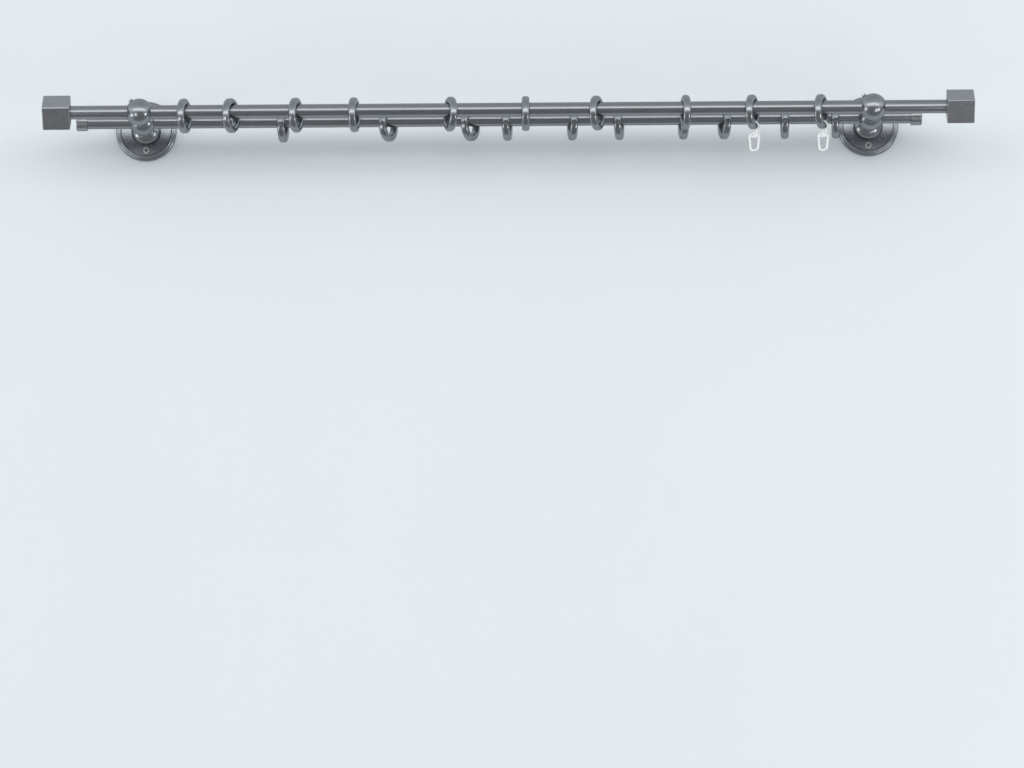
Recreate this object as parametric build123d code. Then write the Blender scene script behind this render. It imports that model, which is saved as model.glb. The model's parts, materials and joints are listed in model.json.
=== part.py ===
from build123d import *
from math import cos, hypot, radians, sin, sqrt
import os

# Double curtain rod for a wall: two tubes in two cast arms, with sliding rings and clip hooks.
# Millimetres. +X runs right along the tubes, +Y points into the wall and +Z points up.
# The origin lies on the wall, midway between the two rosettes and level with their centres.
# A reach is a distance out from the wall, so it lies at y = -reach.

# Lay-out: each overhang is how far a tube's end lies beyond the middle of the bracket
bracket_spacing = 861.0
front_rod_reach = 125.0
rear_rod_reach = 62.0
front_left_overhang = 93.0
front_right_overhang = 98.2
rear_left_overhang = 76.5
rear_right_overhang = 58.5

# Tubes and what closes their ends
rod_diameter = 16.0
rod_wall = 1.0
slip_fit = 0.1
socket_lead_in = 0.4
finial_size = 30.0
finial_length = 31.9
finial_socket = 12.0
finial_edge_bevel = 0.7
left_finial_turn = 40.0
right_finial_turn = 36.5
cap_diameter = 20.5
cap_end_wall = 2.0
cap_socket = 11.0
cap_edge_radius = 1.6

# Cast arm: two bored balls on a neck that grows out of a domed foot
ball_diameter = 32.0
bore_clearance = 0.25
neck_diameter = 15.0
ball_blend = 2.0
dome_diameter = 35.0
dome_height = 12.0
dome_edge = 1.4
dome_gap = 0.8
dome_blend = 4.0
foot_diameter = 20.0

# Set screw in each ball, and how far it leans to the left and to the wall
set_screw_lean_left = 0.55
set_screw_lean_back = 0.26
set_screw_diameter = 4.0
set_screw_tip_diameter = 2.0
set_screw_tip_length = 1.2
set_screw_tip_gap = 0.7
set_screw_head_diameter = 5.0
set_screw_head_height = 2.2
set_screw_head_lift = 2.0
set_screw_slot_width = 0.9
set_screw_slot_depth = 1.0
thread_clearance = 0.05

# Rosette: a dished plate with a bead and a sloping rim, hollow behind
rosette_diameter = 72.0
rosette_wall = 2.2
rosette_seat_reach = 5.0
rosette_dish_rise = 0.5
rosette_bead_width = 3.4
rosette_bead_height = 1.8
rosette_rim_width = 3.2
rosette_groove_reach = 4.0
rosette_rim_height = 1.6
rosette_rim_radius = 3.6
rosette_rim_land = 1.8
screw_boss_diameter = 12.0

# Bolt from behind the rosette into the arm
arm_bolt_diameter = 6.0
arm_bolt_hole_clearance = 0.3
arm_bolt_grip = 14.0
arm_bolt_head_diameter = 11.0
arm_bolt_head_height = 2.4
arm_bolt_hole_spare = 2.0
arm_bolt_slot_width = 1.4
arm_bolt_slot_depth = 1.2

# Wall screws, two to a rosette
wall_screw_inset = 12.5
wall_screw_diameter = 4.0
wall_screw_neck_diameter = 3.4
wall_screw_length = 40.0
wall_screw_point_length = 5.0
wall_screw_head_diameter = 8.2
wall_screw_head_depth = 2.3
wall_screw_hole_clearance = 0.4
wall_screw_sink = 0.2
cross_recess_span = 4.6
cross_recess_width = 1.1
cross_recess_depth = 1.6

# Rings: an oval bar turned round a circle, hanging on the tube
ring_play = 10.4
ring_bar_height = 7.3
ring_bar_width = 9.0
ring_outer_corner = 3.3
ring_inner_corner = 2.9
ring_hang_gap = 0.3

# Clip hooks, each moulded flat and sprung round the bar of a ring
hook_thickness = 2.5
hook_edge = 0.3
hook_clip_gap = 0.75
hook_clip_band = 1.9
hook_clip_start = -95.0
hook_clip_end = 112.0
hook_sag = 0.45
hook_place_angle = 12.0
hook_web_left = 5.9
hook_web_right = 5.2
hook_web_shoulder = 10.4
hook_web_throat = 1.4
hook_bar_depth = 13.2
hook_eye_radius = 0.85
hook_eye_places = [(2.7, -8.1), (-0.8, -10.2)]
hook_leg_width = 2.4
hook_leg_top = (-4.7, -11.5)
hook_foot_left = (-3.5, -28.5)
hook_foot_right = (5.0, -28.5)
hook_tip = (7.2, -9.9)
hook_loop_corner = 3.9

# Each ring as it hangs, left to right: its share of the way from the left bracket to the right
# one, and how far it is turned about the upright
front_ring_places = [
    (0.0614, 11.3),
    (0.1251, 18.2),
    (0.2137, 12.9),
    (0.2930, 7.2),
    (0.4239, -14.4),
    (0.5266, 0.0),
    (0.6237, 16.2),
    (0.7443, -5.7),
    (0.8355, 14.8),
    (0.9294, 16.0),
]
rear_ring_places = [
    (0.1928, 6.8),
    (0.3374, 22.6),
    (0.4501, 23.6),
    (0.5009, 5.7),
    (0.5905, -6.8),
    (0.6546, 6.3),
    (0.7430, -6.0),
    (0.7993, -10.8),
    (0.8819, -0.5),
    (0.9516, 2.0),
]
hooked_rings = {"left_clip_hook": "front_ring_09", "right_clip_hook": "front_ring_10"}

# Sizes that follow from those above
rod_radius = rod_diameter / 2
socket_radius = rod_radius + slip_fit
ball_radius = ball_diameter / 2
neck_radius = neck_diameter / 2
rosette_radius = rosette_diameter / 2
rosette_back_reach = rosette_seat_reach - rosette_wall
wall_screw_offset = rosette_radius - wall_screw_inset
ring_bore_radius = rod_radius + ring_play / 2
ring_bar_radius = ring_bore_radius + ring_bar_height / 2
ring_drop = ring_bore_radius - rod_radius - ring_hang_gap
ring_corner_out = hypot(ring_bar_width / 2 - ring_inner_corner, ring_bar_height / 2 - ring_inner_corner)
hook_clip_radius = ring_corner_out + ring_inner_corner + hook_clip_gap

# How near a corner lies to where it is looked for
pick_tolerance = 0.01

along_x = Rot(0, 90, 0)
rise_from_base = (Align.CENTER, Align.CENTER, Align.MIN)
hang_from_top = (Align.CENTER, Align.CENTER, Align.MAX)


def tube(left_overhang, right_overhang, reach):
    """A round tube along X, through both brackets."""
    length = left_overhang + bracket_spacing + right_overhang
    wall = Cylinder(rod_radius, length) - Cylinder(rod_radius - rod_wall, length)
    return Pos((right_overhang - left_overhang) / 2, -reach, 0) * along_x * wall


def closing(side, overhang, socket_depth, reach, closer):
    """Puts what closes a tube's end over it: a half turn about Z for the left-hand end."""
    seat = side * (bracket_spacing / 2 + overhang - socket_depth)
    return Pos(seat, -reach, 0) * Rot(0, 0, 0 if side > 0 else 180) * closer


def socket(depth):
    """The hole that slips over a tube's end: open at x = 0, it runs to +X behind a lead-in."""
    hole = Cylinder(socket_radius, depth, align=rise_from_base)
    lead_in = Cone(socket_radius + socket_lead_in, socket_radius, socket_lead_in, align=rise_from_base)
    return along_x * (hole + lead_in)


def finial(side, overhang, turn):
    """A block knob with bevelled edges, bored on its inner face for the front tube."""
    block = chamfer(Box(finial_length, finial_size, finial_size).edges(), finial_edge_bevel)
    knob = Pos(finial_length / 2, 0, 0) * block - socket(finial_socket)
    return closing(side, overhang, finial_socket, front_rod_reach, Rot(side * turn, 0, 0) * knob)


def end_cap(side, overhang):
    """A short round cap, closed at its outer end, for the rear tube."""
    body = along_x * Cylinder(cap_diameter / 2, cap_socket + cap_end_wall, align=rise_from_base)
    outer_rim = body.edges().filter_by(GeomType.CIRCLE).sort_by(Axis.X)[-1]
    cap = fillet(outer_rim, cap_edge_radius) - socket(cap_socket)
    return closing(side, overhang, cap_socket, rear_rod_reach, cap)


def on_bracket(side, body):
    """Moves what was made about the Y axis to the left or right bracket."""
    return Pos(side * bracket_spacing / 2, 0, 0) * body


def outward(reach, height=0):
    """A plane at this reach and height, looking out from the wall."""
    return Plane(origin=(0, -reach, height), x_dir=(1, 0, 0), z_dir=(0, -1, 0))


def inward(reach, height=0):
    """A plane at this reach and height, looking into the wall."""
    return Plane(origin=(0, -reach, height), x_dir=(1, 0, 0), z_dir=(0, 1, 0))


def rosette_face_reach(radius):
    """How far the dished face stands out from the wall at this distance from its centre."""
    flat = foot_diameter / 2
    bead_start = rosette_radius - rosette_rim_width - rosette_bead_width
    share = min(max((radius - flat) / (bead_start - flat), 0), 1)
    return rosette_seat_reach + share * rosette_dish_rise


def rosette_section():
    """Half section of the rosette at (radius, -reach): face, bead, groove, rim, hollow back."""
    bead_end = rosette_radius - rosette_rim_width
    bead_start = bead_end - rosette_bead_width
    bead_middle = bead_start + rosette_bead_width / 2
    edge_reach = rosette_face_reach(bead_start)
    inner_land = rosette_radius - rosette_rim_land
    face = Line((0, -rosette_seat_reach), (foot_diameter / 2, -rosette_seat_reach))
    dish = Line(face @ 1, (bead_start, -edge_reach))
    bead = ThreePointArc(
        dish @ 1, (bead_middle, -edge_reach - rosette_bead_height), (bead_end, -rosette_groove_reach)
    )
    rim = RadiusArc(bead @ 1, (rosette_radius, -rosette_rim_height), -rosette_rim_radius)
    back = Polyline(
        rim @ 1,
        (rosette_radius, 0),
        (inner_land, 0),
        (inner_land, -rosette_rim_height),
        (bead_middle, -rosette_groove_reach),
        (bead_start, rosette_wall - edge_reach),
        (foot_diameter / 2, -rosette_back_reach),
        (0, -rosette_back_reach),
        face @ 0,
    )
    return make_face([face, dish, bead, rim, back])


def rosette(side):
    """The round wall plate, with a hole for the arm's bolt and two countersunk screw holes."""
    plate = revolve(rosette_section(), Axis.Y)
    screw_face = rosette_face_reach(wall_screw_offset)
    hole_radius = wall_screw_diameter / 2 + wall_screw_hole_clearance
    sink_radius = wall_screw_head_diameter / 2 + wall_screw_hole_clearance
    boss_height = screw_face - rosette_wall / 2
    for height in (-wall_screw_offset, wall_screw_offset):
        plate += outward(0, height) * Cylinder(screw_boss_diameter / 2, boss_height, align=rise_from_base)
    for height in (-wall_screw_offset, wall_screw_offset):
        plate -= inward(screw_face, height) * Cylinder(hole_radius, screw_face, align=rise_from_base)
        plate -= inward(screw_face, height) * Cone(
            sink_radius, hole_radius, wall_screw_head_depth + wall_screw_sink, align=rise_from_base
        )
        plate -= outward(screw_face, height) * Cylinder(sink_radius, rosette_dish_rise, align=rise_from_base)
    bolt_radius = arm_bolt_diameter / 2 + arm_bolt_hole_clearance
    bolt_hole = outward(0) * Cylinder(bolt_radius, rosette_seat_reach, align=rise_from_base)
    return on_bracket(side, plate - bolt_hole)


def set_screw_plane(reach):
    """A plane in the middle of the ball at this reach, looking out along its set screw."""
    rise = sqrt(1 - set_screw_lean_left**2 - set_screw_lean_back**2)
    return Plane(origin=(0, -reach, 0), z_dir=(-set_screw_lean_left, set_screw_lean_back, rise))


def arm_outline():
    """Half outline of the arm at (radius, -reach), from its foot to the front ball."""
    to_front = (Align.CENTER, Align.MAX)
    dome_back = -rosette_seat_reach - dome_gap
    dome_base = dome_back - dome_edge
    foot = Pos(0, -rosette_seat_reach) * Rectangle(foot_diameter, dome_gap + dome_edge, align=to_front)
    skirt = Pos(0, dome_back) * Rectangle(dome_diameter, dome_edge, align=to_front)
    dome = Ellipse(dome_diameter / 2, dome_height) & Rectangle(dome_diameter, dome_height, align=to_front)
    neck = Pos(0, dome_back) * Rectangle(neck_diameter, front_rod_reach + dome_back, align=to_front)
    outline = foot + skirt + Pos(0, dome_base) * dome + neck
    for reach in (rear_rod_reach, front_rod_reach):
        outline += Pos(0, -reach) * Circle(ball_radius)
    half = outline & Rectangle(dome_diameter, 2 * front_rod_reach, align=(Align.MIN, Align.MAX))
    corners = [corner for corner in half.vertices() if abs(corner.X - neck_radius) < pick_tolerance]
    corners.sort(key=lambda corner: corner.Y)
    half = fillet(corners[-1], dome_blend)
    corners = [corner for corner in half.vertices() if abs(corner.X - neck_radius) < pick_tolerance]
    corners.sort(key=lambda corner: corner.Y)
    return fillet(corners[:-1], ball_blend)


def arm(side):
    """The cast arm, bored for both tubes, their set screws and the bolt behind the rosette."""
    body = revolve(arm_outline(), Axis.Y)
    for reach in (front_rod_reach, rear_rod_reach):
        body -= Pos(0, -reach, 0) * along_x * Cylinder(rod_radius + bore_clearance, ball_diameter)
        tapped = Cylinder(set_screw_diameter / 2 + thread_clearance, ball_diameter, align=rise_from_base)
        body -= set_screw_plane(reach) * tapped
    depth = arm_bolt_grip + arm_bolt_hole_spare
    tapped = Cylinder(arm_bolt_diameter / 2 + thread_clearance, depth, align=rise_from_base)
    return on_bracket(side, body - outward(rosette_seat_reach) * tapped)


def arm_bolt(side):
    """A slotted bolt whose head lies in the hollow behind the rosette."""
    shank = Cylinder(arm_bolt_diameter / 2, rosette_wall + arm_bolt_grip, align=rise_from_base)
    head = Cylinder(arm_bolt_head_diameter / 2, arm_bolt_head_height, align=hang_from_top)
    slot = Pos(0, 0, -arm_bolt_head_height) * Box(
        arm_bolt_head_diameter, arm_bolt_slot_width, arm_bolt_slot_depth, align=rise_from_base
    )
    return on_bracket(side, outward(rosette_back_reach) * (shank + head - slot))


def set_screw(side, reach):
    """A brass screw with a slotted head and a dog point that holds its tube."""
    rise = sqrt(1 - set_screw_lean_left**2)
    tip = (rod_radius + set_screw_tip_gap) / rise
    head_start = ball_radius + set_screw_head_lift
    thread_start = tip + set_screw_tip_length
    point = Pos(0, 0, tip) * Cylinder(set_screw_tip_diameter / 2, set_screw_tip_length, align=rise_from_base)
    shank = Pos(0, 0, thread_start) * Cylinder(
        set_screw_diameter / 2, head_start - thread_start, align=rise_from_base
    )
    head = Pos(0, 0, head_start) * Cylinder(
        set_screw_head_diameter / 2, set_screw_head_height, align=rise_from_base
    )
    slot = Pos(0, 0, head_start + set_screw_head_height) * Box(
        set_screw_head_diameter, set_screw_slot_width, set_screw_slot_depth, align=hang_from_top
    )
    return on_bracket(side, set_screw_plane(reach) * (point + shank + head - slot))


def wall_screw(side, height):
    """A countersunk wall screw: a cross recess, a neck in the rosette and a thicker shank in the wall."""
    face_reach = rosette_face_reach(wall_screw_offset) - wall_screw_sink
    head_radius = wall_screw_head_diameter / 2
    shank_radius = wall_screw_diameter / 2
    shank_length = wall_screw_length - wall_screw_point_length - face_reach
    head = Cone(head_radius, wall_screw_neck_diameter / 2, wall_screw_head_depth, align=rise_from_base)
    neck = Cylinder(wall_screw_neck_diameter / 2, face_reach, align=rise_from_base)
    shank = Pos(0, 0, face_reach) * Cylinder(shank_radius, shank_length, align=rise_from_base)
    point = Pos(0, 0, face_reach + shank_length) * Cone(
        shank_radius, 0, wall_screw_point_length, align=rise_from_base
    )
    recess = Box(cross_recess_span, cross_recess_width, cross_recess_depth, align=rise_from_base)
    recess += Box(cross_recess_width, cross_recess_span, cross_recess_depth, align=rise_from_base)
    screw = head + neck + shank + point - recess
    return on_bracket(side, inward(face_reach, height) * screw)


def on_ring(place, reach):
    """The frame of a hanging ring: its centre below the tube, turned about the upright."""
    share, turn = place
    return Pos((share - 0.5) * bracket_spacing, -reach, -ring_drop) * Rot(0, 0, -turn)


def ring(place, reach):
    """A curtain ring: an oval bar, flatter on the inside, turned round a circle."""
    section = Pos(0, ring_bar_radius) * Rectangle(ring_bar_width, ring_bar_height)
    section = fillet(section.vertices().sort_by(Axis.Y)[-2:], ring_outer_corner)
    inner = [corner for corner in section.vertices() if corner.Y < ring_bore_radius + pick_tolerance]
    section = fillet(inner, ring_inner_corner)
    return on_ring(place, reach) * revolve(section, Axis.X)


def hook_outline():
    """The hook's flat outline about the middle of its clip: clip, web with two eyes, loop."""
    clip_middle = hook_clip_radius + hook_clip_band / 2
    clip_outer = hook_clip_radius + hook_clip_band
    sweep = hook_clip_end - hook_clip_start
    clip = trace(CenterArc((0, 0), clip_middle, hook_clip_start, sweep), hook_clip_band)
    web = make_face(
        Polyline(
            (clip_middle, -hook_clip_band),
            (hook_web_right, -hook_bar_depth),
            (-hook_web_left, -hook_bar_depth),
            (-hook_web_left, -hook_web_shoulder),
            (-hook_web_throat, -clip_outer),
            (0, -clip_middle),
            close=True,
        )
    )
    web -= Circle(hook_clip_radius)
    for place in hook_eye_places:
        web -= Pos(*place) * Circle(hook_eye_radius)
    loop = trace(
        FilletPolyline(hook_leg_top, hook_foot_left, hook_foot_right, hook_tip, radius=hook_loop_corner),
        hook_leg_width,
    )
    return clip + web + loop


def clip_hook(place):
    """A white curtain hook, a little round the bar from the lowest point of its ring."""
    blank = extrude(hook_outline(), hook_thickness / 2, both=True)
    rims = blank.faces().filter_by(Axis.Z).edges()
    hook = Rot(90, 0, 0) * chamfer(rims, hook_edge)
    back = ring_bar_radius * sin(radians(hook_place_angle))
    down = ring_bar_radius * cos(radians(hook_place_angle)) + hook_sag
    return on_ring(place, front_rod_reach) * Pos(0, back, -down) * hook


def parts():
    """Every piece by name."""
    pieces = {
        "front_rod": tube(front_left_overhang, front_right_overhang, front_rod_reach),
        "rear_rod": tube(rear_left_overhang, rear_right_overhang, rear_rod_reach),
        "left_finial": finial(-1, front_left_overhang, left_finial_turn),
        "right_finial": finial(1, front_right_overhang, right_finial_turn),
        "left_end_cap": end_cap(-1, rear_left_overhang),
        "right_end_cap": end_cap(1, rear_right_overhang),
    }
    for word, side in (("left", -1), ("right", 1)):
        pieces[f"{word}_rosette"] = rosette(side)
        pieces[f"{word}_arm"] = arm(side)
        pieces[f"{word}_arm_bolt"] = arm_bolt(side)
        pieces[f"{word}_front_set_screw"] = set_screw(side, front_rod_reach)
        pieces[f"{word}_rear_set_screw"] = set_screw(side, rear_rod_reach)
        pieces[f"{word}_upper_wall_screw"] = wall_screw(side, wall_screw_offset)
        pieces[f"{word}_lower_wall_screw"] = wall_screw(side, -wall_screw_offset)
    places = {f"front_ring_{number:02d}": place for number, place in enumerate(front_ring_places, 1)}
    for name, place in places.items():
        pieces[name] = ring(place, front_rod_reach)
    for number, place in enumerate(rear_ring_places, 1):
        pieces[f"rear_ring_{number:02d}"] = ring(place, rear_rod_reach)
    for name, ring_name in hooked_rings.items():
        pieces[name] = clip_hook(places[ring_name])
    return pieces


os.makedirs("parts", exist_ok=True)
for name, piece in parts().items():
    export_step(piece, f"parts/{name}.step")
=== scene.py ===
"""Looks of the double curtain rod: camera, room, lamps, materials and the threaded screws."""
import json
from math import cos, pi, radians, sin, sqrt, tau

import bmesh
import bpy
from mathutils import Matrix, Vector

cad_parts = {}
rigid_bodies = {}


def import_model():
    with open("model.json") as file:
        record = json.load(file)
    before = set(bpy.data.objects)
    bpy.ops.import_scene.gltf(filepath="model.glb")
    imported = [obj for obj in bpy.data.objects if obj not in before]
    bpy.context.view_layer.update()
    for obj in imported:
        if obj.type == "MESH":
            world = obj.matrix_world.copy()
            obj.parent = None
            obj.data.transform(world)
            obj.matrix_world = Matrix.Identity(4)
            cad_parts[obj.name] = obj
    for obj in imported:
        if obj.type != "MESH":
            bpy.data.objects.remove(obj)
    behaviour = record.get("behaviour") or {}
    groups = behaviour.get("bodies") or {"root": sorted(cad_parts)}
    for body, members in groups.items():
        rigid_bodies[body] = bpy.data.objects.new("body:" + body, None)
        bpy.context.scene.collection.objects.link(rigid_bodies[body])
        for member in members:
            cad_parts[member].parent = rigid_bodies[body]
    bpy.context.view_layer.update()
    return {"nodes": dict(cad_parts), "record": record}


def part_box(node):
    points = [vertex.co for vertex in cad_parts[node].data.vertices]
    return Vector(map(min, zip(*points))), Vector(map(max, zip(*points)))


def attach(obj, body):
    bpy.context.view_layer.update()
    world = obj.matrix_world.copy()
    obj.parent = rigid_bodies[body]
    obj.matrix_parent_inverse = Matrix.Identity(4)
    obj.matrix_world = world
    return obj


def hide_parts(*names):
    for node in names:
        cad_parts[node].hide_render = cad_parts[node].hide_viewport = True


MM = 0.001

# Camera: below the rod and a long way off. Its place and sensor are in millimetres, its turns in degrees, its
# focal length in pixels, and its reach in metres
CAMERA_PLACE = (50.9, -7045.2, -1317.9)
CAMERA_PITCH = 8.163
CAMERA_YAW = 0.380
CAMERA_ROLL = -0.340
FOCAL_LENGTH = 6000
IMAGE_WIDTH = 1024
SENSOR_WIDTH = 36.0
CAMERA_REACH = 100

# Room, in metres: the wall lies just behind the rosettes, and the floor well below
WALL_PLACE = 0.0004
FLOOR_PLACE = -2.0
ROOM_WIDTH = 14.0
WALL_COLOUR = (0.83, 0.875, 0.895)
FLOOR_COLOUR = (0.70, 0.72, 0.74)
# The floor is darker to all rays but the camera's, because the photograph's tubes are dark below
FLOOR_COLOUR_FOR_LIGHT = (0.32, 0.32, 0.32)
# Paint: how much paler its clouds are than its colour, and how it shines
PAINT_CLOUD_GAIN = 1.012
PAINT_ROUGHNESS = 0.85
PAINT_SPECULAR = 0.2
# The wall is left out behind the middle of each rosette, so that light reaches its hollow back
WALL_HOLE_RADIUS = 0.033
BACKGROUND_COLOUR = (0.80, 0.83, 0.85)
# Light from around the room, from straight down to straight up: (share of the way, strength)
SKY = (
    (0.0, 0.20),
    (0.36, 0.26),
    (0.44, 0.45),
    (0.50, 0.80),
    (0.55, 1.30),
    (0.66, 1.30),
    (0.76, 0.80),
    (1.0, 0.62),
)
SKY_TINT = (0.97, 1.0, 1.03)

# Lamps: place and size in metres, radiance, and whether it lights matt surfaces as well as gloss
LAMPS = {
    "window_band": ((0.0, -4.6, 1.10), (12.0, 1.50), 1.5, True),
    "right_softbox": ((2.15, -1.45, -1.10), (0.6, 0.6), 5.0, True),
    "left_softbox": ((-3.20, -1.05, -1.26), (1.0, 1.0), 4.0, True),
    "left_near_lamp": ((-0.73, -0.63, -0.31), (0.2, 0.2), 3.2, False),
    "right_near_lamp": ((0.70, -0.63, -0.42), (0.2, 0.2), 4.0, False),
}

# Wall screws, in millimetres: the head's size and the whole length come from the CAD node
WALL_SCREW_HEAD_DEPTH = 2.3
WALL_SCREW_CORE = 1.35
WALL_SCREW_CREST = 2.0
WALL_SCREW_NECK = 1.7
WALL_SCREW_TIP = 6.0
WALL_SCREW_PITCH = 1.8
WALL_SCREW_PLAIN_END = 1.0
WALL_SCREW_POINT = 0.05
CROSS_SPAN = 4.6
CROSS_WIDTH = 1.8
CROSS_DEPTH = 2.0
CROSS_HEADROOM = 0.5
# The foot of the cross as a share of its mouth
CROSS_FOOT = 0.55

# Set screws, in millimetres from the middle of the ball, out along the screw
SET_SCREW_LEAN_LEFT = 0.55
SET_SCREW_LEAN_BACK = 0.26
SET_SCREW_TIP = 10.42
SET_SCREW_THREAD_START = 11.62
SET_SCREW_HEAD_START = 18.0
SET_SCREW_END = 20.2
SET_SCREW_TIP_RADIUS = 1.0
SET_SCREW_CORE = 1.65
SET_SCREW_CREST = 2.0
SET_SCREW_PITCH = 0.7
SET_SCREW_HEAD_RADIUS = 2.5
SET_SCREW_CHAMFER = 0.35
SLOT_WIDTH = 0.9
SLOT_DEPTH = 1.0
# The height of the step where the radius changes at once
STEP_HEIGHT = 0.001

# Threads: points round a turn, rows up a pitch, and the ridge's half width as a share of the pitch
SCREW_SEGMENTS = 32
ROWS_PER_PITCH = 10
RIDGE_HALF_WIDTH = 0.28
SHARP_ANGLE = 38

# Between these values most of a noise lies
NOISE_LOW = 0.3
NOISE_HIGH = 0.7
EVEN = (1, 1, 1)
# Lacquer: noise scales per metre, the flakes' darkest and lightest tint, and how the gloss varies
LACQUER_CLOUD_SCALE = 55
FLAKE_SCALE = 3200
FLAKE_DARK = (0.97, 0.97, 0.97)
FLAKE_LIGHT = (1.03, 1.03, 1.03)
LACQUER_GLOSS_SCALE = 420
LACQUER_GLOSS_SPREAD = (-0.02, 0.03)
PEEL_SCALE = 1100
# How much of the light a lacquered surface keeps where it is seen edge on
RIM_TINT = (0.55, 0.57, 0.60, 1)
# Screws: noise scales per metre, how the gloss varies, and the tool lines' height in millimetres
GRIME_SCALE = 700
METAL_GLOSS_SCALE = 1500
METAL_GLOSS_SPREAD = (-0.06, 0.10)
TOOL_LINE_HEIGHT = 0.008
# Painted shade down in recesses: how far apart, in millimetres, the walls of a recess stand, how fast the
# painted shade darkens, and its colour
SHADE_REACH = 2.5
SHADE_POWER = 2.0
PAINTED_SHADE_COLOUR = (0.03, 0.03, 0.035)

# Metals of the screws: both tones, roughness, and the tool lines' scale
METALS = {
    "screw_steel": {"dark": (0.42, 0.43, 0.44), "light": (0.56, 0.57, 0.58), "roughness": 0.28, "lines": 900},
    "brass": {"dark": (0.58, 0.51, 0.45), "light": (0.76, 0.69, 0.62), "roughness": 0.30, "lines": 1600},
}
# Lacquers: both tones, the shader's values, the texture's stretch, and the orange peel in millimetres
LACQUERS = {
    "tube_lacquer": {
        "dark": (0.26, 0.27, 0.285),
        "light": (0.285, 0.295, 0.31),
        "metallic": 1.0,
        "roughness": 0.26,
        "coat": 0.06,
        "coat_roughness": 0.14,
        "grain": (0.02, 1, 1),
        "peel": 0.001,
    },
    "finial_lacquer": {
        "dark": (0.305, 0.313, 0.325),
        "light": (0.335, 0.343, 0.355),
        "metallic": 0.96,
        "roughness": 0.28,
        "coat": 0.12,
        "coat_roughness": 0.2,
        "grain": EVEN,
        "peel": 0.0006,
    },
    "cast_lacquer": {
        "dark": (0.26, 0.275, 0.29),
        "light": (0.285, 0.30, 0.315),
        "metallic": 1.0,
        "roughness": 0.25,
        "coat": 0.12,
        "coat_roughness": 0.12,
        "grain": EVEN,
        "peel": 0.0004,
    },
    "ring_lacquer": {
        "dark": (0.255, 0.27, 0.285),
        "light": (0.28, 0.295, 0.31),
        "metallic": 1.0,
        "roughness": 0.24,
        "coat": 0.3,
        "coat_roughness": 0.10,
        "grain": EVEN,
        "peel": 0.0006,
    },
}
# White plastic: both tones, and the least and greatest roughness
PLASTIC_DARK = (0.83, 0.85, 0.86)
PLASTIC_LIGHT = (0.88, 0.89, 0.89)
PLASTIC_ROUGHNESS = (0.30, 0.42)


def add_node(tree, kind, inputs=None, **settings):
    """A new node with its settings, whose inputs are values or other nodes' outputs."""
    node = tree.nodes.new(kind)
    for name, value in settings.items():
        setattr(node, name, value)
    for name, value in (inputs or {}).items():
        if isinstance(value, bpy.types.NodeSocket):
            tree.links.new(value, node.inputs[name])
        else:
            node.inputs[name].default_value = value
    return node


def new_material(name, **fixed):
    """A material whose shader has these fixed values. Gives the material, its tree and its shader."""
    material = bpy.data.materials.new(name)
    material.use_nodes = True
    tree = material.node_tree
    shader = tree.nodes["Principled BSDF"]
    for socket, value in fixed.items():
        shader.inputs[socket.replace("_", " ")].default_value = value
    return material, tree, shader


def stretched_place(tree, stretch):
    """The place on the object in metres, stretched along each axis."""
    place = add_node(tree, "ShaderNodeTexCoord").outputs["Object"]
    return add_node(tree, "ShaderNodeMapping", {"Vector": place, "Scale": stretch}).outputs["Vector"]


def noise(tree, place, scale, detail=4.0, roughness=0.55):
    """A cloudy value between 0 and 1."""
    inputs = {"Vector": place, "Scale": scale, "Detail": detail, "Roughness": roughness}
    return add_node(tree, "ShaderNodeTexNoise", inputs).outputs["Fac"]


def spread(tree, value, low, high):
    """A noise value spread over a range."""
    inputs = {"Value": value, "From Min": NOISE_LOW, "From Max": NOISE_HIGH, "To Min": low, "To Max": high}
    return add_node(tree, "ShaderNodeMapRange", inputs).outputs["Result"]


def tone(tree, value, dark, light):
    """A colour between dark and light."""
    ramp = add_node(tree, "ShaderNodeValToRGB", {"Fac": value})
    first, last = ramp.color_ramp.elements
    first.position = NOISE_LOW
    first.color = (*dark, 1)
    last.position = NOISE_HIGH
    last.color = (*light, 1)
    return ramp.outputs["Color"]


def mixed(tree, amount, first, second, blend="MIX"):
    """Two colours mixed by an amount. The node's colours are its inputs 6 and 7 and its output 2."""
    inputs = {0: amount, 6: first, 7: second}
    return add_node(tree, "ShaderNodeMix", inputs, data_type="RGBA", blend_type=blend).outputs[2]


def bumped(tree, shader, height, distance, strength=1.0):
    """Raises the surface by a height map, at most by the distance in millimetres."""
    inputs = {"Height": height, "Distance": distance * MM, "Strength": strength}
    bump = add_node(tree, "ShaderNodeBump", inputs)
    tree.links.new(bump.outputs["Normal"], shader.inputs["Normal"])


def varied_gloss(tree, shader, texture, roughness, change):
    """Lets the roughness vary about its value, by the least and the greatest change."""
    least, greatest = change
    gloss = spread(tree, texture, roughness + least, roughness + greatest)
    tree.links.new(gloss, shader.inputs["Roughness"])


def lacquer(name, dark, light, metallic, roughness, coat, coat_roughness, grain, peel):
    """Pewter-grey metallic lacquer: fine flakes, uneven gloss and a slight orange peel."""
    material, tree, shader = new_material(
        name, Metallic=metallic, Coat_Weight=coat, Coat_Roughness=coat_roughness, Specular_Tint=RIM_TINT
    )
    place = stretched_place(tree, grain)
    base = tone(tree, noise(tree, place, LACQUER_CLOUD_SCALE), dark, light)
    flakes = add_node(tree, "ShaderNodeTexVoronoi", {"Vector": place, "Scale": FLAKE_SCALE}).outputs["Color"]
    flake_tone = tone(tree, flakes, FLAKE_DARK, FLAKE_LIGHT)
    tree.links.new(mixed(tree, 1.0, base, flake_tone, "MULTIPLY"), shader.inputs["Base Color"])
    varied_gloss(tree, shader, noise(tree, place, LACQUER_GLOSS_SCALE), roughness, LACQUER_GLOSS_SPREAD)
    bumped(tree, shader, noise(tree, place, PEEL_SCALE, detail=2), peel)
    return material


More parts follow.
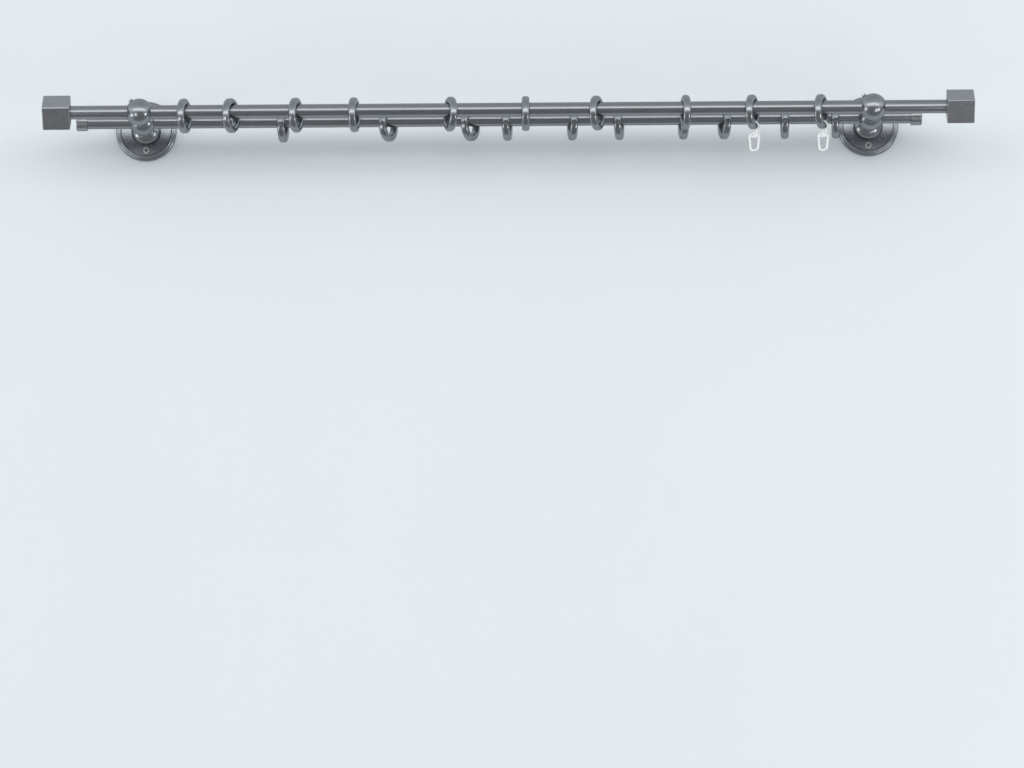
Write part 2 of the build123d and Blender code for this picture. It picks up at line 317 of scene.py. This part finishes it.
def machined_metal(name, dark, light, roughness, lines):
    """Plated or turned metal with fine tool lines and a little grime, with painted shade that makes it dark
    and dull down in its recesses.
    """
    material, tree, shader = new_material(name)
    place = stretched_place(tree, EVEN)
    plated = tone(tree, noise(tree, place, GRIME_SCALE), dark, light)
    # Painted shade: an ambient occlusion node darkens the colour and takes the metal's shine away down in
    # recesses, such as the screws' crosses and slots
    shade = add_node(tree, "ShaderNodeAmbientOcclusion", {"Distance": SHADE_REACH * MM}, samples=8)
    shading = {0: shade.outputs["AO"], 1: SHADE_POWER}
    painted_shade_openness = add_node(tree, "ShaderNodeMath", shading, operation="POWER").outputs[0]
    tree.links.new(mixed(tree, painted_shade_openness, (*PAINTED_SHADE_COLOUR, 1), plated), shader.inputs["Base Color"])
    tree.links.new(painted_shade_openness, shader.inputs["Metallic"])
    varied_gloss(tree, shader, noise(tree, place, METAL_GLOSS_SCALE), roughness, METAL_GLOSS_SPREAD)
    tooling = {"Vector": place, "Scale": lines, "Distortion": 1.5, "Detail": 2.0}
    tool_lines = add_node(tree, "ShaderNodeTexWave", tooling).outputs["Fac"]
    bumped(tree, shader, tool_lines, TOOL_LINE_HEIGHT)
    return material


def white_plastic():
    """Slightly translucent white plastic, with the faint flow marks of moulding."""
    material, tree, shader = new_material(
        "white_plastic", IOR=1.49, Subsurface_Weight=0.2, Subsurface_Scale=0.001, Coat_Weight=0.2
    )
    place = stretched_place(tree, EVEN)
    flow = noise(tree, place, scale=160)
    tree.links.new(tone(tree, flow, PLASTIC_DARK, PLASTIC_LIGHT), shader.inputs["Base Color"])
    tree.links.new(spread(tree, flow, *PLASTIC_ROUGHNESS), shader.inputs["Roughness"])
    bumped(tree, shader, noise(tree, place, scale=800), distance=0.01)
    return material


def hole_mask(tree, centre):
    """1 within a hole about this centre, and 0 outside it."""
    place = add_node(tree, "ShaderNodeTexCoord").outputs["Object"]
    distance = add_node(tree, "ShaderNodeVectorMath", {0: place, 1: centre}, operation="DISTANCE")
    inside = {0: distance.outputs["Value"], 1: WALL_HOLE_RADIUS}
    return add_node(tree, "ShaderNodeMath", inside, operation="LESS_THAN").outputs[0]


def one_sided(tree, shader, passed_rays, holes):
    """Shows the surface from its front only, with holes, and lets these kinds of ray through it."""
    hidden = add_node(tree, "ShaderNodeNewGeometry").outputs["Backfacing"]
    rays = add_node(tree, "ShaderNodeLightPath")
    ways_through = [rays.outputs[kind] for kind in passed_rays]
    ways_through += [hole_mask(tree, centre) for centre in holes]
    for way in ways_through:
        hidden = add_node(tree, "ShaderNodeMath", {0: hidden, 1: way}, operation="MAXIMUM").outputs[0]
    clear = add_node(tree, "ShaderNodeBsdfTransparent").outputs["BSDF"]
    mix = add_node(tree, "ShaderNodeMixShader")
    tree.links.new(hidden, mix.inputs[0])
    tree.links.new(shader.outputs["BSDF"], mix.inputs[1])
    tree.links.new(clear, mix.inputs[2])
    tree.links.new(mix.outputs[0], tree.nodes["Material Output"].inputs["Surface"])


def room_paint(name, colour, colour_for_light, passed_rays=(), holes=()):
    """Matt pale paint with the shallow texture of a roller. Only the camera meets the first colour."""
    material, tree, shader = new_material(name, Roughness=PAINT_ROUGHNESS, Specular_IOR_Level=PAINT_SPECULAR)
    place = stretched_place(tree, EVEN)
    cloud = noise(tree, place, scale=2.5, detail=2)
    pale = tuple(min(1, part * PAINT_CLOUD_GAIN) for part in colour)
    seen = add_node(tree, "ShaderNodeLightPath").outputs["Is Camera Ray"]
    paint = mixed(tree, seen, (*colour_for_light, 1), tone(tree, cloud, colour, pale))
    tree.links.new(paint, shader.inputs["Base Color"])
    bumped(tree, shader, noise(tree, place, scale=260, detail=3), distance=0.15, strength=0.5)
    one_sided(tree, shader, passed_rays, holes)
    return material


def panel(name, corners, material):
    """A flat part of the room."""
    mesh = bpy.data.meshes.new(name)
    mesh.from_pydata(corners, [], [(0, 1, 2, 3)])
    mesh.materials.append(material)
    surface = bpy.data.objects.new(name, mesh)
    bpy.context.scene.collection.objects.link(surface)


def build_room():
    """The wall behind the rod and a pale floor. Neither hides the rod from behind or below."""
    half = ROOM_WIDTH / 2
    wall = [
        (-half, WALL_PLACE, FLOOR_PLACE),
        (half, WALL_PLACE, FLOOR_PLACE),
        (half, WALL_PLACE, half),
        (-half, WALL_PLACE, half),
    ]
    floor = [
        (-half, -half, FLOOR_PLACE),
        (half, -half, FLOOR_PLACE),
        (half, half, FLOOR_PLACE),
        (-half, half, FLOOR_PLACE),
    ]
    holes = []
    for side in ("left", "right"):
        low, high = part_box(f"{side}_rosette")
        holes.append(((low.x + high.x) / 2, WALL_PLACE, (low.z + high.z) / 2))
    passed_rays = ("Is Shadow Ray", "Is Diffuse Ray")
    panel("wall", wall, room_paint("wall_paint", WALL_COLOUR, WALL_COLOUR, passed_rays, holes))
    panel("floor", floor, room_paint("floor_paint", FLOOR_COLOUR, FLOOR_COLOUR_FOR_LIGHT))


def build_sky():
    """Soft light from around: dim below, brighter from just over the horizon up."""
    world = bpy.data.worlds.new("room_light")
    world.use_nodes = True
    bpy.context.scene.world = world
    tree = world.node_tree
    direction = add_node(tree, "ShaderNodeTexCoord").outputs["Generated"]
    height = add_node(tree, "ShaderNodeSeparateXYZ", {"Vector": direction}).outputs["Z"]
    share = add_node(
        tree, "ShaderNodeMapRange", {"Value": height, "From Min": -1.0, "From Max": 1.0}
    ).outputs["Result"]
    ramp = add_node(tree, "ShaderNodeValToRGB", {"Fac": share})
    stops = ramp.color_ramp.elements
    while len(stops) < len(SKY):
        stops.new(0.5)
    for stop, (position, strength) in zip(stops, SKY):
        stop.position = position
        stop.color = (*(strength * part for part in SKY_TINT), 1)
    seen = add_node(tree, "ShaderNodeLightPath").outputs["Is Camera Ray"]
    colour = mixed(tree, seen, ramp.outputs["Color"], (*BACKGROUND_COLOUR, 1))
    tree.links.new(colour, tree.nodes["Background"].inputs["Color"])


def build_lamps():
    """Large soft lamps that all face the rod. The camera doesn't see them."""
    for name, (place, (width, height), radiance, lights_matt) in LAMPS.items():
        light = bpy.data.lights.new(name, "AREA")
        light.shape = "RECTANGLE"
        light.size = width
        light.size_y = height
        light.energy = radiance * pi * width * height
        lamp = bpy.data.objects.new(name, light)
        lamp.location = place
        lamp.rotation_euler = (-Vector(place)).to_track_quat("-Z", "Y").to_euler()
        lamp.visible_camera = False
        lamp.visible_diffuse = lights_matt
        bpy.context.scene.collection.objects.link(lamp)


def build_camera():
    """The camera at the photograph's place."""
    data = bpy.data.cameras.new("camera")
    data.sensor_width = SENSOR_WIDTH
    data.lens = FOCAL_LENGTH / IMAGE_WIDTH * SENSOR_WIDTH
    data.clip_end = CAMERA_REACH
    turn = Matrix.Rotation(radians(CAMERA_YAW), 4, "Z")
    turn @= Matrix.Rotation(radians(90 + CAMERA_PITCH), 4, "X")
    turn @= Matrix.Rotation(radians(CAMERA_ROLL), 4, "Z")
    camera = bpy.data.objects.new("camera", data)
    camera.matrix_world = Matrix.Translation(Vector(CAMERA_PLACE) * MM) @ turn
    bpy.context.scene.collection.objects.link(camera)
    bpy.context.scene.camera = camera


def between(low, high, step):
    """Heights from low to high, about a step apart."""
    count = max(1, round((high - low) / step))
    return [low + (high - low) * index / count for index in range(count + 1)]


def ridge(height, turn, pitch, start, end):
    """How far up a thread's ridge this place is, from 0 to 1. The thread runs out at both ends."""
    across = abs((height / pitch - turn) % 1 - 0.5) / RIDGE_HALF_WIDTH
    run_out = min(1, max(0, min(height - start, end - height) / pitch))
    return max(0, 1 - across) * run_out


def turned(name, heights, radius_at):
    """A closed mesh about Z whose radius comes from the height and the share of a turn."""
    shape = bmesh.new()
    rings = []
    for height in heights:
        ring = []
        for index in range(SCREW_SEGMENTS):
            turn = index / SCREW_SEGMENTS
            radius = radius_at(height, turn)
            ring.append(shape.verts.new((radius * cos(tau * turn), radius * sin(tau * turn), height)))
        rings.append(ring)
    for lower, upper in zip(rings, rings[1:]):
        for index in range(SCREW_SEGMENTS):
            after = (index + 1) % SCREW_SEGMENTS
            shape.faces.new((lower[index], lower[after], upper[after], upper[index]))
    shape.faces.new(list(reversed(rings[0])))
    shape.faces.new(rings[-1])
    mesh = bpy.data.meshes.new(name)
    shape.to_mesh(mesh)
    shape.free()
    return mesh


def wedge(name, top_size, foot_size, top, foot):
    """A four-sided cutter that narrows from its top to its foot."""
    corners = []
    for (length, width), height in ((top_size, top), (foot_size, foot)):
        for x, y in ((-1, -1), (1, -1), (1, 1), (-1, 1)):
            corners.append((x * length / 2, y * width / 2, height))
    shape = bmesh.new()
    for corner in corners:
        shape.verts.new(corner)
    bmesh.ops.convex_hull(shape, input=shape.verts)
    mesh = bpy.data.meshes.new(name)
    shape.to_mesh(mesh)
    shape.free()
    return mesh


def cut(mesh, cutters):
    """The mesh less its cutters."""
    scene_objects = bpy.context.scene.collection.objects
    body = bpy.data.objects.new("body", mesh)
    scene_objects.link(body)
    tools = []
    for cutter in cutters:
        tool = bpy.data.objects.new("cutter", cutter)
        scene_objects.link(tool)
        tools.append(tool)
        modifier = body.modifiers.new("cut", "BOOLEAN")
        modifier.operation = "DIFFERENCE"
        modifier.solver = "EXACT"
        modifier.object = tool
    evaluated = body.evaluated_get(bpy.context.evaluated_depsgraph_get())
    result = bpy.data.meshes.new_from_object(evaluated)
    for extra in [body, *tools]:
        bpy.data.objects.remove(extra)
    return result


def place_screw(name, mesh, material, place):
    """Puts a copy of a screw where its CAD node is, and hides the node."""
    mesh = mesh.copy()
    mesh.name = name
    mesh.transform(Matrix.Translation(place.translation) @ place.to_3x3().to_4x4() @ Matrix.Scale(MM, 4))
    mesh.materials.clear()
    mesh.materials.append(material)
    mesh.shade_smooth()
    mesh.set_sharp_from_angle(angle=radians(SHARP_ANGLE))
    screw = bpy.data.objects.new(name + "_threaded", mesh)
    bpy.context.scene.collection.objects.link(screw)
    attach(screw, "frame")
    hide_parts(name)


def wall_screw_mesh(head_radius, length, thread_start):
    """A countersunk wood screw with a cross recess, its head's face at the bottom."""
    thread_end = length - WALL_SCREW_PLAIN_END

    def radius_at(height, turn):
        if height <= WALL_SCREW_HEAD_DEPTH:
            share = height / WALL_SCREW_HEAD_DEPTH
            return head_radius + share * (WALL_SCREW_NECK - head_radius)
        tip_share = max(0, (height - length + WALL_SCREW_TIP) / WALL_SCREW_TIP)
        narrowing = sqrt(1 - min(1, tip_share) ** 2)
        core = WALL_SCREW_CORE if height > thread_start else WALL_SCREW_NECK
        rise = ridge(height, turn, WALL_SCREW_PITCH, thread_start, thread_end)
        return max(WALL_SCREW_POINT, narrowing * (core + rise * (WALL_SCREW_CREST - core)))

    heights = [0] + between(WALL_SCREW_HEAD_DEPTH, length, WALL_SCREW_PITCH / ROWS_PER_PITCH)
    blank = turned("wall_screw", heights, radius_at)
    cutters = []
    for size in ((CROSS_SPAN, CROSS_WIDTH), (CROSS_WIDTH, CROSS_SPAN)):
        foot = tuple(part * CROSS_FOOT for part in size)
        cutters.append(wedge("cross", size, foot, -CROSS_HEADROOM, CROSS_DEPTH))
    return cut(blank, cutters)


def set_screw_mesh():
    """A slotted set screw, measured out from the middle of its ball."""
    chamfer_start = SET_SCREW_END - SET_SCREW_CHAMFER

    def radius_at(height, turn):
        if height < SET_SCREW_THREAD_START:
            return SET_SCREW_TIP_RADIUS
        if height >= SET_SCREW_HEAD_START:
            return SET_SCREW_HEAD_RADIUS - max(0, height - chamfer_start)
        rise = ridge(height, turn, SET_SCREW_PITCH, SET_SCREW_THREAD_START, SET_SCREW_HEAD_START)
        return SET_SCREW_CORE + rise * (SET_SCREW_CREST - SET_SCREW_CORE)

    thread_end = SET_SCREW_HEAD_START - STEP_HEIGHT
    heights = [SET_SCREW_TIP, SET_SCREW_THREAD_START - STEP_HEIGHT]
    heights += between(SET_SCREW_THREAD_START, thread_end, SET_SCREW_PITCH / ROWS_PER_PITCH)
    heights += [SET_SCREW_HEAD_START, chamfer_start, SET_SCREW_END]
    blank = turned("set_screw", heights, radius_at)
    # Longer than the head is wide, so that the slot runs through
    slot_size = (3 * SET_SCREW_HEAD_RADIUS, SLOT_WIDTH)
    slot = wedge("slot", slot_size, slot_size, SET_SCREW_END + SLOT_DEPTH, SET_SCREW_END - SLOT_DEPTH)
    return cut(blank, [slot])


def build_screws(steel, brass):
    """The four wall screws and the four set screws, with their threads."""
    into_wall = Matrix.Rotation(radians(-90), 4, "X")
    low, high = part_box("left_lower_wall_screw")
    wall_screw = wall_screw_mesh((high.x - low.x) / 2 / MM, (high.y - low.y) / MM, -low.y / MM)
    set_screw = set_screw_mesh()
    rise = sqrt(1 - SET_SCREW_LEAN_LEFT**2 - SET_SCREW_LEAN_BACK**2)
    lean = Vector((-SET_SCREW_LEAN_LEFT, SET_SCREW_LEAN_BACK, rise))
    leaning = lean.to_track_quat("Z", "Y").to_matrix().to_4x4()
    for side in ("left", "right"):
        for level in ("upper", "lower"):
            name = f"{side}_{level}_wall_screw"
            low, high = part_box(name)
            face = Vector(((low.x + high.x) / 2, low.y, (low.z + high.z) / 2))
            place_screw(name, wall_screw, steel, Matrix.Translation(face) @ into_wall)
        low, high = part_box(f"{side}_rosette")
        across = (low.x + high.x) / 2
        for tube in ("front", "rear"):
            low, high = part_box(f"{tube}_rod")
            middle = Vector((across, (low.y + high.y) / 2, 0))
            name = f"{side}_{tube}_set_screw"
            place_screw(name, set_screw, brass, Matrix.Translation(middle) @ leaning)


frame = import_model()

build_camera()
build_room()
build_sky()
build_lamps()

finishes = {name: machined_metal(name, **look) for name, look in METALS.items()}
finishes.update({name: lacquer(name, **look) for name, look in LACQUERS.items()})
finishes["white_plastic"] = white_plastic()
slots = {part["node"]: part["material_slot"] for part in frame["record"]["subparts"]}
for node, piece in frame["nodes"].items():
    for material_slot in piece.material_slots:
        material_slot.material = finishes[slots[node]]
build_screws(finishes["screw_steel"], finishes["brass"])

bpy.context.scene.view_settings.view_transform = "Standard"
